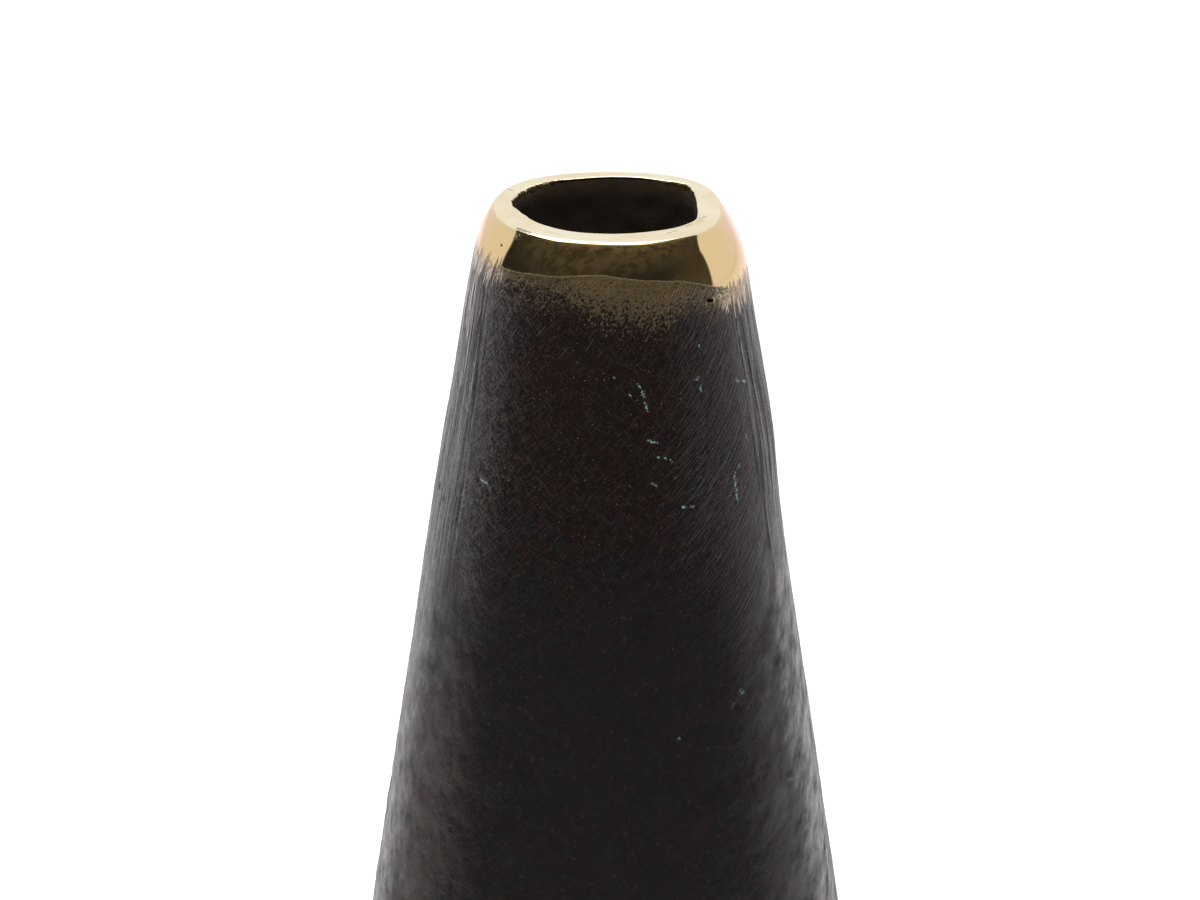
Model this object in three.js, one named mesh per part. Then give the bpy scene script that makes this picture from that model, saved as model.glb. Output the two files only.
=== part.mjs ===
// Brass vase: a tall, thick-walled casting of rounded-square section. It tapers from a wide foot
// to a narrow mouth with a flat, hand-finished lip. The casting is open underneath, where a brass
// base plate sits on a ledge, a soft-solder seam seals it, and a felt pad carries the vase.
// Millimetres, +Z up. The origin is the centre of the face that the vase stands on.
import * as THREE from 'three';

// Driving dimensions of the casting
const HEIGHT = 190; // standing face to the top of the lip
const LIP_HALF = 18.4; // half the width over the lip's outer edge, before it is rounded
const MOUTH_HALF = 14.7; // half the width of the opening
const SHOULDER_HALF = 22.3; // half the width where the straight taper starts
const SHOULDER_DROP = 9; // how far below the lip that is
const SHOULDER_START = 3.5; // drop of the curve's control point: it sets the crease at the lip
const TAPER = 0.152; // growth of the half width for each millimetre down
const WALL = 4; // wall of the tapering body
const CAVITY_START = 4.5; // the same for the cavity, which turns in more gently
const LIP_ROUND = 0.5; // rounding of the lip's two edges
const FOOT_BEVEL = 0.8; // broken outer edge of the foot

// Squareness of the section: 2 is a circle, and a larger value is a squarer outline
const LIP_SQUARENESS = 2.15;
const FOOT_SQUARENESS = 3.4;

// Driving dimensions of what closes the foot
const FELT_THICK = 2;
const FELT_PROUD = 0.6; // how far the felt stands below the casting
const PLATE_THICK = 2.5;
const LEDGE = 2; // width of the ledge that the plate is set against
const PLATE_CLEARANCE = 0.15; // all round the plate
const PLATE_EDGE = 0.3; // broken lower edge of the plate
const SOLDER_LEG = 1.2; // width and depth of the solder fillet
const SOLDER_THROAT = 0.4; // from the fillet's corner to its hollow face, across and down
const SOLDER_GAP = 0.1; // to the wall that it wets
const FELT_MARGIN = 0.8; // from the felt's edge to the solder
const FELT_EDGE = 0.3; // trodden lower edge of the felt

// Fineness of the meshes
const STEPS_AROUND = 64;
const STEPS_SHOULDER = 8;
const STEPS_TAPER = 8;
const STEPS_ROUND = 3;

// Heights that follow from them
const footZ = FELT_PROUD;
const plateBottomZ = FELT_THICK;
const plateTopZ = plateBottomZ + PLATE_THICK;
const shoulderZ = HEIGHT - SHOULDER_DROP;

// Half width of the outside on the straight taper
function taperHalf(z) {
  return SHOULDER_HALF + TAPER * (shoulderZ - z);
}

// Half widths at the foot
const cavityHalf = taperHalf(plateTopZ) - WALL;
const rebateHalf = cavityHalf + LEDGE;
const plateHalf = rebateHalf - PLATE_CLEARANCE;
const solderHalf = rebateHalf - SOLDER_GAP;
const feltHalf = solderHalf - SOLDER_LEG - FELT_MARGIN;

// The section grows squarer from the lip down to the foot
function squarenessAt(z) {
  return THREE.MathUtils.lerp(FOOT_SQUARENESS, LIP_SQUARENESS, z / HEIGHT);
}

// Turns a closed profile of (half width, height) points into a ring, then presses each round
// section of it into the rounded square of its height
function squareLathe(profile) {
  const geometry = new THREE.LatheGeometry([...profile, profile[0]], STEPS_AROUND);
  geometry.rotateX(Math.PI / 2);
  pressSquare(geometry);
  return geometry;
}

// A flat pad or plate: the same rounded square, closed on its axis
function squarePlate(half, lowZ, highZ, edge) {
  const profile = [
    new THREE.Vector2(0, lowZ),
    new THREE.Vector2(half - edge, lowZ),
    new THREE.Vector2(half, lowZ + edge),
    new THREE.Vector2(half, highZ),
    new THREE.Vector2(0, highZ),
  ];
  const geometry = new THREE.LatheGeometry(profile, STEPS_AROUND);
  geometry.rotateX(Math.PI / 2);
  pressSquare(geometry, (lowZ + highZ) / 2);
  return geometry;
}

// Moves every vertex of a round body out to a superellipse. A fixed height gives straight sides.
function pressSquare(geometry, fixedZ) {
  const position = geometry.getAttribute('position');
  for (let i = 0; i < position.count; i += 1) {
    const x = position.getX(i);
    const y = position.getY(i);
    const z = position.getZ(i);
    const radius = Math.hypot(x, y);
    if (radius > 0) {
      const power = 2 / squarenessAt(fixedZ ?? z);
      position.setX(i, radius * Math.sign(x) * Math.abs(x / radius) ** power);
      position.setY(i, radius * Math.sign(y) * Math.abs(y / radius) ** power);
    }
  }
  geometry.computeVertexNormals();
}

// Points of a curve from the lip down to where the straight taper starts. The control point lies
// on the taper's own line, so the curve runs into it without a kink.
function shoulderCurve(lipHalf, shoulderHalf, startDrop) {
  const control = new THREE.Vector2(
    shoulderHalf - TAPER * (SHOULDER_DROP - startDrop),
    HEIGHT - startDrop,
  );
  return new THREE.QuadraticBezierCurve(
    new THREE.Vector2(lipHalf, HEIGHT),
    control,
    new THREE.Vector2(shoulderHalf, shoulderZ),
  );
}

// The share of such a curve at which it has fallen by a given drop
function shareAtDrop(startDrop, drop) {
  const bend = SHOULDER_DROP - 2 * startDrop;
  return drop / (startDrop + Math.sqrt(startDrop ** 2 + bend * drop));
}

// A rounded edge at the start of a curve: from the lip's flat top to a point on the curve
function roundedStart(curve, flatHalf, onCurve) {
  const start = new THREE.Vector2(flatHalf, HEIGHT);
  return new THREE.QuadraticBezierCurve(start, curve.getPoint(0), curve.getPoint(onCurve));
}

// The casting's outline, once round: up the outside, over the lip, down the inside, and
// across the ledge and the rebate that take the base plate
function castingProfile() {
  const outer = shoulderCurve(LIP_HALF, SHOULDER_HALF, SHOULDER_START);
  const inner = shoulderCurve(MOUTH_HALF, SHOULDER_HALF - WALL, CAVITY_START);
  const outerShare = shareAtDrop(SHOULDER_START, LIP_ROUND);
  const innerShare = shareAtDrop(CAVITY_START, LIP_ROUND);
  const outerRound = roundedStart(outer, LIP_HALF - LIP_ROUND, outerShare);
  const innerRound = roundedStart(inner, MOUTH_HALF + LIP_ROUND, innerShare);
  const footHalf = taperHalf(footZ);
  const profile = [new THREE.Vector2(footHalf - FOOT_BEVEL, footZ)];
  for (let i = 0; i < STEPS_TAPER; i += 1) {
    const z = THREE.MathUtils.lerp(footZ + FOOT_BEVEL, shoulderZ, i / STEPS_TAPER);
    profile.push(new THREE.Vector2(taperHalf(z), z));
  }
  for (let i = 0; i < STEPS_SHOULDER; i += 1) {
    const share = THREE.MathUtils.lerp(1, outerShare, i / STEPS_SHOULDER);
    profile.push(outer.getPoint(share));
  }
  profile.push(...outerRound.getPoints(STEPS_ROUND).reverse());
  profile.push(...innerRound.getPoints(STEPS_ROUND));
  for (let i = 1; i <= STEPS_SHOULDER; i += 1) {
    const share = THREE.MathUtils.lerp(innerShare, 1, i / STEPS_SHOULDER);
    profile.push(inner.getPoint(share));
  }
  for (let i = 1; i <= STEPS_TAPER; i += 1) {
    const z = THREE.MathUtils.lerp(shoulderZ, plateTopZ, i / STEPS_TAPER);
    profile.push(new THREE.Vector2(taperHalf(z) - WALL, z));
  }
  profile.push(new THREE.Vector2(rebateHalf, plateTopZ));
  profile.push(new THREE.Vector2(rebateHalf, footZ));
  return profile;
}

// The solder fillet: flat against the plate, upright against the rebate's wall
function solderProfile() {
  const lowZ = plateBottomZ - SOLDER_LEG;
  return [
    new THREE.Vector2(solderHalf - SOLDER_LEG, plateBottomZ),
    new THREE.Vector2(solderHalf - SOLDER_THROAT, plateBottomZ - SOLDER_THROAT),
    new THREE.Vector2(solderHalf, lowZ),
    new THREE.Vector2(solderHalf, plateBottomZ),
  ];
}

const patinatedBrass = new THREE.MeshStandardMaterial({
  color: 0x2a2422,
  roughness: 0.45,
  metalness: 0.6,
});
const plainBrass = new THREE.MeshStandardMaterial({
  color: 0x8f7440,
  roughness: 0.4,
  metalness: 1,
});
const softSolder = new THREE.MeshStandardMaterial({
  color: 0x8a8c8e,
  roughness: 0.5,
  metalness: 1,
});
const felt = new THREE.MeshStandardMaterial({ color: 0x1d2a20, roughness: 1, metalness: 0 });

function piece(name, geometry, material) {
  const mesh = new THREE.Mesh(geometry, material);
  mesh.name = name;
  return mesh;
}

const vase = new THREE.Group();
vase.add(
  piece('body_casting', squareLathe(castingProfile()), patinatedBrass),
  piece('base_plate', squarePlate(plateHalf, plateBottomZ, plateTopZ, PLATE_EDGE), plainBrass),
  piece('solder_seam', squareLathe(solderProfile()), softSolder),
  piece('felt_pad', squarePlate(feltHalf, 0, FELT_THICK, FELT_EDGE), felt),
);

export default vase;
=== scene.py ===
# Dresses a cast brass vase: a dark patinated body, a lip filed and polished back to bare brass,
# and a closed, felted foot. Metres, +Z up. The vase stands at the origin and its front faces -Y.
import math

import bpy
import numpy as np
from bpy.props import FloatProperty, FloatVectorProperty, IntProperty, PointerProperty
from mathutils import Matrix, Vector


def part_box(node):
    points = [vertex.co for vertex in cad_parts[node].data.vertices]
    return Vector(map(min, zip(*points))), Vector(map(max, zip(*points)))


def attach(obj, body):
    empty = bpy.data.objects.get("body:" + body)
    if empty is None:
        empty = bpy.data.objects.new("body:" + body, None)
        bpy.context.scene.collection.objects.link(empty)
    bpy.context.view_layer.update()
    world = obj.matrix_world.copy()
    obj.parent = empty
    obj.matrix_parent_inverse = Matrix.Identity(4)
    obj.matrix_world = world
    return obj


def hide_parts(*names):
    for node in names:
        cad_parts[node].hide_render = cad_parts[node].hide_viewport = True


bl_info = {
    "name": "Brass Vase",
    "version": (1, 0, 0),
    "blender": (4, 5, 0),
    "location": "3D View > Sidebar > Vase",
    "description": "Builds the visible pieces of a cast brass vase around its frame",
    "category": "Object",
}

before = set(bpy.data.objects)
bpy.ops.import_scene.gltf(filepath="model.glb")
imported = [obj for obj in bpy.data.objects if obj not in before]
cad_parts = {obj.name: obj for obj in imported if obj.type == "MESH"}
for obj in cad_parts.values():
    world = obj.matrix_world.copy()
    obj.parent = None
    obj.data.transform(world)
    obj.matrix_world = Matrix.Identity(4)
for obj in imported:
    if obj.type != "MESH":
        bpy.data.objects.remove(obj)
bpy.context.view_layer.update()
CASTING_LOW, CASTING_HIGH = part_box("body_casting")
PLATE_LOW, PLATE_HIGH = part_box("base_plate")
SOLDER_LOW, SOLDER_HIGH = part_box("solder_seam")
FELT_LOW, FELT_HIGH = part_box("felt_pad")

MM = 0.001
TURN = 2 * math.pi
ROOT = "root"

# The hand-filed edges of the lip's flat, seen from above, going round from the right, in
# millimetres: the outer one and the uneven one around the mouth
LIP_EDGE = (
    (18.1, 2.1), (17.8, 6.6), (16.8, 9.8), (15.1, 13.0), (11.7, 16.2), (6.4, 18.1), (1.0, 18.8),
    (-4.2, 18.1), (-10.5, 16.2), (-14.2, 13.0), (-16.1, 9.8), (-17.3, 6.6), (-17.9, 1.0),
    (-17.8, -1.5), (-17.0, -4.5), (-15.8, -7.7), (-13.9, -11.3), (-9.6, -14.6), (-4.1, -17.0),
    (2.1, -17.9), (8.4, -16.9), (14.4, -12.7), (17.0, -8.9), (17.8, -5.1), (18.0, -1.5),
)
MOUTH_EDGE = (
    (14.4, 0.5), (14.3, 4.2), (14.1, 7.4), (13.5, 10.4), (12.2, 12.4), (9.8, 13.4), (6.7, 15.0),
    (0.4, 15.8), (-4.2, 14.8), (-9.1, 13.2), (-12.3, 9.5), (-14.3, 5.9), (-14.9, 2.0),
    (-14.8, 0.5), (-14.0, -0.8), (-12.5, -4.3), (-11.4, -6.6), (-8.8, -9.6), (-5.7, -11.8),
    (-1.0, -13.0), (4.0, -12.8), (7.2, -11.9), (11.1, -9.9), (13.6, -7.0), (14.2, -5.8),
    (14.4, -3.2),
)

# Hollows in the casting's front: across from the middle and below the lip, then radius and depth
HOLLOWS = (
    (16.3, 10.1, 0.6, 0.9), (-16.4, 2.8, 0.2, 0.25),
    (-26.9, 44.9, 0.5, 0.35), (-26.2, 45.6, 0.35, 0.3), (-20.0, 39.3, 0.8, 0.2),
    (-19.0, 40.3, 0.7, 0.18), (20.6, 74.9, 0.5, 0.2),
)
BLOWHOLES = ((16.0, 10.1, 16.6, 10.0, 0.3), (17.7, 9.8, 17.8, 9.8, 0.12))

# Wide soft swellings of the front, given in the same way but with a height
SWELLINGS = ((-21.9, 8.3, 3.6, -0.45), (26.2, 36.0, 13.0, 0.65), (-26.5, 39.0, 8.0, 0.22))

# Where the materials of the shoulder and of the body meet, below the lip
SEAM_DROP = 26 * MM

# Down to these drops below the lip the casting's rows lie closest, and then less close
FINE_DROP = 30 * MM
MIDDLING_DROP = 125 * MM

# The neck leans fully from this drop on, and the lean ends between the other two
LEAN_FULL = 8 * MM
LEAN_FADES = 30 * MM
LEAN_ENDS = 52 * MM

# Room between the base plate and the rebate that it sits in
PLATE_CLEARANCE = 0.15 * MM

# Faces around the solder and the felt
FOOT_STEPS = 480

# The felt's innermost rows, in half widths: so small that no hole shows in its middle
FELT_CENTRE = 0.001

# The patina's gloss: how strongly it reflects, in which tint, and how much of the patina is
# matt in its place, on average and at most
PATINA_SHEEN = 0.72
SHEEN_TINT = (1.0, 0.88, 0.89)
MATT_SHARE = 0.45
MOST_MATT = 0.92

# Colours of the patina's tints, hairs, specks and corrosion; the paler hairs on the left are painted glints,
# a painted highlight
BLUSH = (0.050, 0.029, 0.024)
LOW_HAZE = (0.05, 0.044, 0.049)
PALE_GRAIN = (0.028, 0.020, 0.0175)
BRUSHED = (0.056, 0.043, 0.037)
HAIR = (0.085, 0.066, 0.050)
# The paler colour of the hairs on the left: painted glints, a painted highlight
PAINTED_HAIR_GLINT = (0.16, 0.15, 0.15)
TAN_SPECK = (0.06, 0.044, 0.03)
OCHRE_SPECK = (0.46, 0.31, 0.15)
GREEN_SPECK = (0.36, 0.38, 0.29)
SCRATCHED = (0.16, 0.135, 0.08)
RUST_RED = (0.16, 0.065, 0.03)
CRACK_GREEN = (0.07, 0.10, 0.09)
# Near black inside the blowholes: painted shade of their depth
HOLE_PAINTED_SHADE = (0.003, 0.002, 0.002)

# Colours of the oxide inside, with its clouds, its painted light further down where little light reaches,
# under the edge and in its specks
OXIDE = (0.032, 0.023, 0.017)
OXIDE_CLOUD = (0.052, 0.035, 0.026)
OXIDE_PAINTED_FILL = (0.13, 0.095, 0.07)
OXIDE_EDGE = (0.075, 0.05, 0.028)
OXIDE_SPECK = (0.16, 0.14, 0.11)

# Colours of the foot's pieces
ROLLED_BRASS = (0.60, 0.45, 0.22)
TARNISH = (0.16, 0.11, 0.06)
SOLDER_GREY = (0.36, 0.37, 0.38)
FLUX_STAIN = (0.18, 0.14, 0.09)
RUBBED_FELT = (0.03, 0.055, 0.035)

# Colours of the metal where it is rubbed, worn, filed or stained
RUBBED_LINE = (0.52, 0.47, 0.46)
RUBBED_LEFT = (0.76, 0.67, 0.59)
RUBBED_RIGHT = (0.66, 0.56, 0.43)
DULL_CORNER = (0.105, 0.075, 0.036)
HOLE_RIM = (0.75, 0.62, 0.42)
CHEWED_BRASS = (0.20, 0.14, 0.08)
CLOUDED_LIP = (0.79, 0.66, 0.42)
NICK_BROWN = (0.16, 0.13, 0.10)
MOUTH_STAIN = (0.06, 0.03, 0.012)

# The dim room that the brass mirrors, from low down to overhead, then its patches
ROOM_LOW = (0.075, 0.070, 0.062)
ROOM_TABLE = (0.028, 0.028, 0.029)
ROOM_WALL = (0.100, 0.090, 0.070)
ROOM_CEILING = (0.21, 0.180, 0.13)
ROOM_LAMPLIGHT = (0.50, 0.33, 0.20)
ROOM_SHADE = (0.028, 0.028, 0.022)
ROOM_GREEN = (0.055, 0.085, 0.070)
ROOM_RIGHT = (0.105, 0.092, 0.068)
ROOM_FILL = (0.55, 0.55, 0.55)
WHITE = (1.0, 1.0, 1.0)

# The floor's own glow for the camera, and the lamp: its side in metres, power and place
FLOOR_GREY = (0.8, 0.8, 0.8)
FLOOR_GLOW = 0.45
LAMP_SIDE = 1.2
LAMP_WATTS = 14
LAMP_PLACE = (-0.2, 0.35, 1.5)
LAMP_TILT = (math.radians(-13), math.radians(-8), 0)
SENSOR_WIDTH = 36

# Strokes on the front: from a place to a place, each across and below the lip, then half width
VERDIGRIS = (
    (4.8, 21.2, 5.3, 21.8, 0.22), (3.5, 22.8, 3.9, 23.0, 0.16), (5.7, 22.4, 6.0, 23.4, 0.26),
    (6.0, 24.2, 6.5, 25.5, 0.2), (14.0, 21.6, 14.5, 21.2, 0.2), (14.8, 22.6, 14.9, 23.4, 0.16),
    (6.4, 30.1, 8.0, 30.7, 0.2), (8.1, 32.8, 8.2, 33.1, 0.18), (9.2, 33.1, 9.5, 33.3, 0.18),
    (10.1, 33.6, 10.4, 33.9, 0.2), (7.2, 37.0, 8.1, 37.6, 0.18), (12.0, 41.2, 12.5, 41.4, 0.22),
    (13.4, 41.3, 13.7, 41.5, 0.2), (20.3, 37.6, 20.8, 42.0, 0.2), (21.0, 36.7, 21.2, 37.0, 0.2),
    (20.6, 23.6, 20.9, 23.9, 0.22), (21.7, 24.2, 22.0, 24.5, 0.2), (22.2, 32.5, 22.3, 32.9, 0.2),
    (14.5, 16.3, 14.7, 16.5, 0.2), (1.1, 20.0, 1.3, 20.2, 0.16), (11.6, 78.5, 11.8, 78.7, 0.22),
    (29.9, 90.4, 30.2, 90.7, 0.3), (-19.9, 38.9, -18.8, 39.1, 0.2), (21.5, 72.6, 21.9, 73.1, 0.35),
)
CRACK = (
    (11.1, 34.7, 13.0, 36.0, 0.12), (13.0, 36.0, 15.9, 37.5, 0.12), (15.9, 37.5, 17.2, 40.6, 0.09),
)
RUST = (
    (23.3, 28.3, 23.5, 32.0, 0.3), (4.2, 23.6, 4.4, 23.8, 0.16), (8.8, 20.1, 9.0, 20.3, 0.16),
    (1.1, 23.9, 1.3, 24.1, 0.14), (15.2, 30.5, 15.4, 30.7, 0.16), (-18.1, 52.2, -17.9, 52.4, 0.2),
)
SCRATCHES = (
    (-14.3, 7.6, -13.1, 5.9, 0.05), (-14.4, 10.4, -12.4, 6.9, 0.045), (-10.8, 14.3, -9.4, 12.5, 0.04),
    (6.1, 14.5, 7.4, 12.6, 0.035), (-3.2, 16.0, -2.0, 14.2, 0.035), (-11.4, 9.2, -9.9, 7.4, 0.035),
    (-15.0, 15.6, -13.9, 13.6, 0.035), (-7.4, 17.4, -6.0, 15.6, 0.035),
)

# Marks on the lip's flat, seen from above: from a place to a place, then half width
NICKS = (
    (-12.8, 14.6, -12.4, 14.8, 0.2), (-16.1, 9.5, -15.0, 8.6, 0.14), (14.7, -6.0, 15.8, -4.7, 0.1),
    (-13.9, -10.6, -12.0, -12.7, 0.3), (12.6, -9.7, 13.5, -8.5, 0.1),
    (9.5, -13.2, 11.1, -11.9, 0.1), (14.4, -7.2, 15.2, -6.6, 0.08),
)

# The middle of the roughly filed spot at the lip's front left corner
CHEWED_SPOT = (-12.9, -12.4, 189.4)


# Settings


def length(name, description, default):
    """A setting that is a length."""
    return FloatProperty(
        name=name, description=description, default=default, unit="LENGTH", subtype="DISTANCE",
    )


def tone(name, description, default):
    """A setting that is a colour."""
    return FloatVectorProperty(
        name=name, description=description, subtype="COLOR", default=default, min=0, max=1,
    )


class VaseShape(bpy.types.PropertyGroup):
    lip_half: length("Lip half width", "Half the width over the lip's outer edge", 18.6 * MM)
    shoulder_half: length("Shoulder half width", "Half the width where the straight taper starts", 22.2 * MM)
    shoulder_drop: length("Shoulder drop", "How far below the lip the straight taper starts", 9 * MM)
    shoulder_start: length("Shoulder start", "Drop of the shoulder curve's control point", 3.3 * MM)
    cavity_start: length("Cavity start", "The same for the cavity's own curve", 4.5 * MM)
    mouth_half: length("Mouth half width", "Half the mean width of the mouth", 14.7 * MM)
    wall: length("Wall", "Thickness of the tapering body's wall", 4 * MM)
    lip_round: length("Lip rounding", "Rounding of the lip's outer edge", 0.5 * MM)
    mouth_round: length("Mouth rounding", "Rounding of the edge around the mouth", 0.4 * MM)
    foot_bevel: length("Foot bevel", "Broken outer edge of the foot", 0.8 * MM)
    lip_squareness: FloatProperty(
        name="Lip squareness", description="2 is a circle and more is squarer", default=2.15,
    )
    foot_squareness: FloatProperty(
        name="Foot squareness", description="The same at the foot", default=3.4,
    )
    even_drop: length("Even drop", "How far down the lip's uneven outline is still felt", 10 * MM)
    lean: length("Lean", "How far the neck stands to the right of the body's axis", 0.42 * MM)
    unevenness: length("Unevenness", "Height of the slow waves in the casting's wall", 0.1 * MM)
    steps_around: IntProperty(
        name="Steps around", description="Faces around the casting", default=600, min=48,
    )


class VaseFinish(bpy.types.PropertyGroup):
    brass: tone("Brass", "Bare polished brass", (0.72, 0.54, 0.285))
    filed_brass: tone("Filed brass", "The paler brass of the lip's flat", (0.86, 0.77, 0.56))
    worn_brass: tone("Worn brass", "Dull brass where the patina wears through", (0.36, 0.26, 0.115))
    patina: tone("Patina", "The body's brown-black patina", (0.0165, 0.0088, 0.0088))
    russet: tone("Russet", "Warmer blotches in the patina", (0.027, 0.0180, 0.0145))
    slate: tone("Slate", "Bluish black patches of the patina", (0.0105, 0.0093, 0.0118))
    verdigris: tone("Verdigris", "Green corrosion in the pits", (0.30, 0.50, 0.44))
    felt: tone("Felt", "Wool felt under the foot", (0.012, 0.026, 0.015))
    polish_depth: length("Polish depth", "How far down the front the lip is polished", 4.5 * MM)
    wear_depth: length("Wear depth", "How far under that the brass still shows through", 7.5 * MM)
    patina_roughness: FloatProperty(
        name="Patina roughness", description="Roughness of the patina",
        default=0.26, min=0, max=1, subtype="FACTOR",
    )


class VaseStage(bpy.types.PropertyGroup):
    distance: length("Camera distance", "From the camera to the middle of the lip", 0.6)
    elevation: FloatProperty(
        name="Camera elevation", description="Of the camera above the lip",
        default=math.radians(18.2), unit="ROTATION", subtype="ANGLE",
    )
    lip_above_axis: FloatProperty(
        name="Lip above the axis", description="Angle of the lip above the picture's middle",
        default=math.radians(3.71), unit="ROTATION", subtype="ANGLE",
    )
    aside: length("Camera aside", "How far left of the vase's axis the camera stands", 0.96 * MM)
    lens: FloatProperty(
        name="Lens", description="Focal length in millimetres", default=112.5, min=10,
    )
    floor_half: length("Floor", "Half the width of the floor", 2.5)
    floor_front: length("Floor in front", "How far the floor comes forward from the vase", 0.15)


def shape():
    return bpy.context.scene.vase_shape


def finish():
    return bpy.context.scene.vase_finish


# Shapes


def rounded_square(angles, squareness):
    """How far a rounded square of half width 1 reaches at each angle."""
    across = np.abs(np.cos(angles)) ** squareness
    along = np.abs(np.sin(angles)) ** squareness
    return (across + along) ** (-1 / squareness)


def all_round(count):
    """Even angles all round the axis."""
    return np.linspace(-math.pi, math.pi, count, endpoint=False)


def foot_outline():
    """Angles all round the foot, and how far its rounded square reaches at each of them."""
    angles = all_round(FOOT_STEPS)
    return angles, rounded_square(angles, shape().foot_squareness)


def fade(values, start, end):
    """Goes smoothly from 0 at start to 1 at end."""
    share = np.clip((np.asarray(values, float) - start) / (end - start), 0, 1)
    return share * share * (3 - 2 * share)


def waves(points, wavelength, seed, count=40):
    """A smooth random height from -1 to 1 at each point, made of plain waves in all directions."""
    random = np.random.default_rng(seed)
    directions = random.normal(size=(count, 3))
    directions /= np.linalg.norm(directions, axis=1)[:, None]
    lengths = wavelength * random.uniform(0.7, 1.6, count)
    starts = random.uniform(0, TURN, count)
    total = np.zeros(points.shape[:-1])
    for direction, length, start in zip(directions, lengths, starts):
        total += np.cos(points @ direction * (TURN / length) + start)
    return total / math.sqrt(2 * count)


def bend(start, control, end, share):
    """A place on the curve from start to end that is drawn towards control."""
    return (1 - share) ** 2 * start + 2 * share * (1 - share) * control + share ** 2 * end


def taper(sizes):
    """Growth of the half width for each metre down, from the shoulder to the foot."""
    foot_drop = CASTING_HIGH.z - CASTING_LOW.z - sizes.foot_bevel
    return (CASTING_HIGH.x - sizes.shoulder_half) / (foot_drop - sizes.shoulder_drop)


def curved_half(drop, top_half, low_half, start, sizes):
    """Half width at a drop below the lip: a curve from the top that runs into the straight taper."""
    depth = sizes.shoulder_drop
    inside = np.clip(drop, 0, depth)
    share = inside / (start + np.sqrt(start ** 2 + (depth - 2 * start) * inside))
    control = low_half - taper(sizes) * (depth - start)
    return bend(top_half, control, low_half, share) + taper(sizes) * np.maximum(drop - depth, 0)


def body_half(drop, sizes):
    """Half width of the outside at a drop below the lip."""
    return curved_half(drop, sizes.lip_half, sizes.shoulder_half, sizes.shoulder_start, sizes)


def cavity_half(drop, sizes):
    """Half width of the inside at a drop below the lip."""
    low_half = sizes.shoulder_half - sizes.wall
    return curved_half(drop, sizes.mouth_half, low_half, sizes.cavity_start, sizes)


def section(angles, drop, sizes):
    """The rounded square of half width 1 at a drop below the lip. It grows squarer downwards."""
    share = drop / CASTING_HIGH.z
    squareness = sizes.lip_squareness + (sizes.foot_squareness - sizes.lip_squareness) * share
    return rounded_square(angles, squareness)


def smooth_reach(corners, angles, orders=6):
    """How far an outline of listed corners reaches at each angle, drawn as a smooth curve."""
    corners = np.array(corners) * MM
    counts = np.arange(1, orders + 1)

    def terms(around):
        turns = np.outer(around, counts)
        return np.hstack([np.ones((len(around), 1)), np.cos(turns), np.sin(turns)])

    picked = terms(np.arctan2(corners[:, 1], corners[:, 0]))
    weights = np.linalg.lstsq(picked, np.hypot(*corners.T), rcond=None)[0]
    return terms(angles) @ weights


def cornered_reach(corners, angles):
    """The same with the outline's corners kept and only a little softened."""
    corners = np.array(corners) * MM
    around = np.arctan2(corners[:, 1], corners[:, 0])
    order = np.argsort(around)
    reach = np.interp(angles, around[order], np.hypot(*corners.T)[order], period=TURN)
    window = np.hanning(2 * (len(angles) // 60) + 1)
    middle = len(angles) // 2
    wrapped = np.concatenate([reach[-middle:], reach, reach[:middle]])
    return np.convolve(wrapped, window / window.sum(), "same")[middle:-middle]


def chips(angles, seed):
    """The chipped stretches of the mouth's edge, behind on the left and on the right."""
    random = np.random.default_rng(seed)
    ragged = np.zeros(len(angles))
    for count in range(20, 120):
        ragged += np.cos(count * angles + random.uniform(0, TURN)) * random.uniform(0.3, 1)
    ragged = np.abs(ragged) / 7

    def stretch(middle, width):
        return np.exp(-((np.degrees(angles) - middle) / width) ** 2)

    return ragged * (0.1 + stretch(146, 22) + 0.8 * stretch(42, 14))


def ring(angles, reach, height):
    """One row of points around the axis."""
    height = np.broadcast_to(height, reach.shape)
    return np.stack([reach * np.cos(angles), reach * np.sin(angles), height], axis=-1)


def outward(points):
    """The level direction away from the axis at each point."""
    return points[..., :2] / np.hypot(points[..., 0], points[..., 1])[..., None]


def closed_mesh(name, rows, slot_starts=(), sharp_angle=math.radians(40)):
    """A mesh through rows of points around the axis, whose last row meets the first one. Each
    of slot_starts is a row from which the faces take the next material."""
    rows = np.array(rows)
    count, around = rows.shape[:2]
    index = np.arange(count * around).reshape(count, around)
    above = np.roll(index, -1, axis=0)
    faces = np.stack(
        [index, np.roll(index, -1, axis=1), np.roll(above, -1, axis=1), above], axis=-1
    ).reshape(-1, 4)
    mesh = bpy.data.meshes.new(name)
    mesh.from_pydata(rows.reshape(-1, 3).tolist(), [], faces.tolist())
    slots = np.zeros(count, np.int32)
    for start in slot_starts:
        slots[start:] += 1
    mesh.polygons.foreach_set("material_index", np.repeat(slots, around))
    mesh.shade_smooth()
    mesh.set_sharp_from_angle(angle=sharp_angle)
    mesh.update()
    piece = bpy.data.objects.new(name, mesh)
    bpy.context.collection.objects.link(piece)
    return piece


def gaps_from(points, across, drop, size):
    """How far each point lies from a place on the front, in sizes."""
    drops = (CASTING_HIGH.z - points[..., 2]) / MM
    miss = np.hypot(points[..., 0] / MM - across, drops - drop) + (points[..., 1] > 0) * 100
    middle = points.reshape(-1, 3)[miss.argmin()].copy()
    return np.linalg.norm(points - middle, axis=-1) / (size * MM)


def flawed(points):
    """Adds the casting's soft swellings, and its small hollows with their slightly raised rims."""
    away = outward(points)
    for across, drop, size, height in SWELLINGS:
        swell = height * np.exp(-gaps_from(points, across, drop, size) ** 2)
        points[..., :2] += away * (swell * MM)[..., None]
    for across, drop, size, depth in HOLLOWS:
        gap = gaps_from(points, across, drop, size)
        pit = depth * np.exp(-gap ** 4) - 0.12 * depth * np.exp(-((gap - 1.35) / 0.25) ** 2)
        points[..., :2] -= away * (pit * MM)[..., None]
    return points


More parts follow.
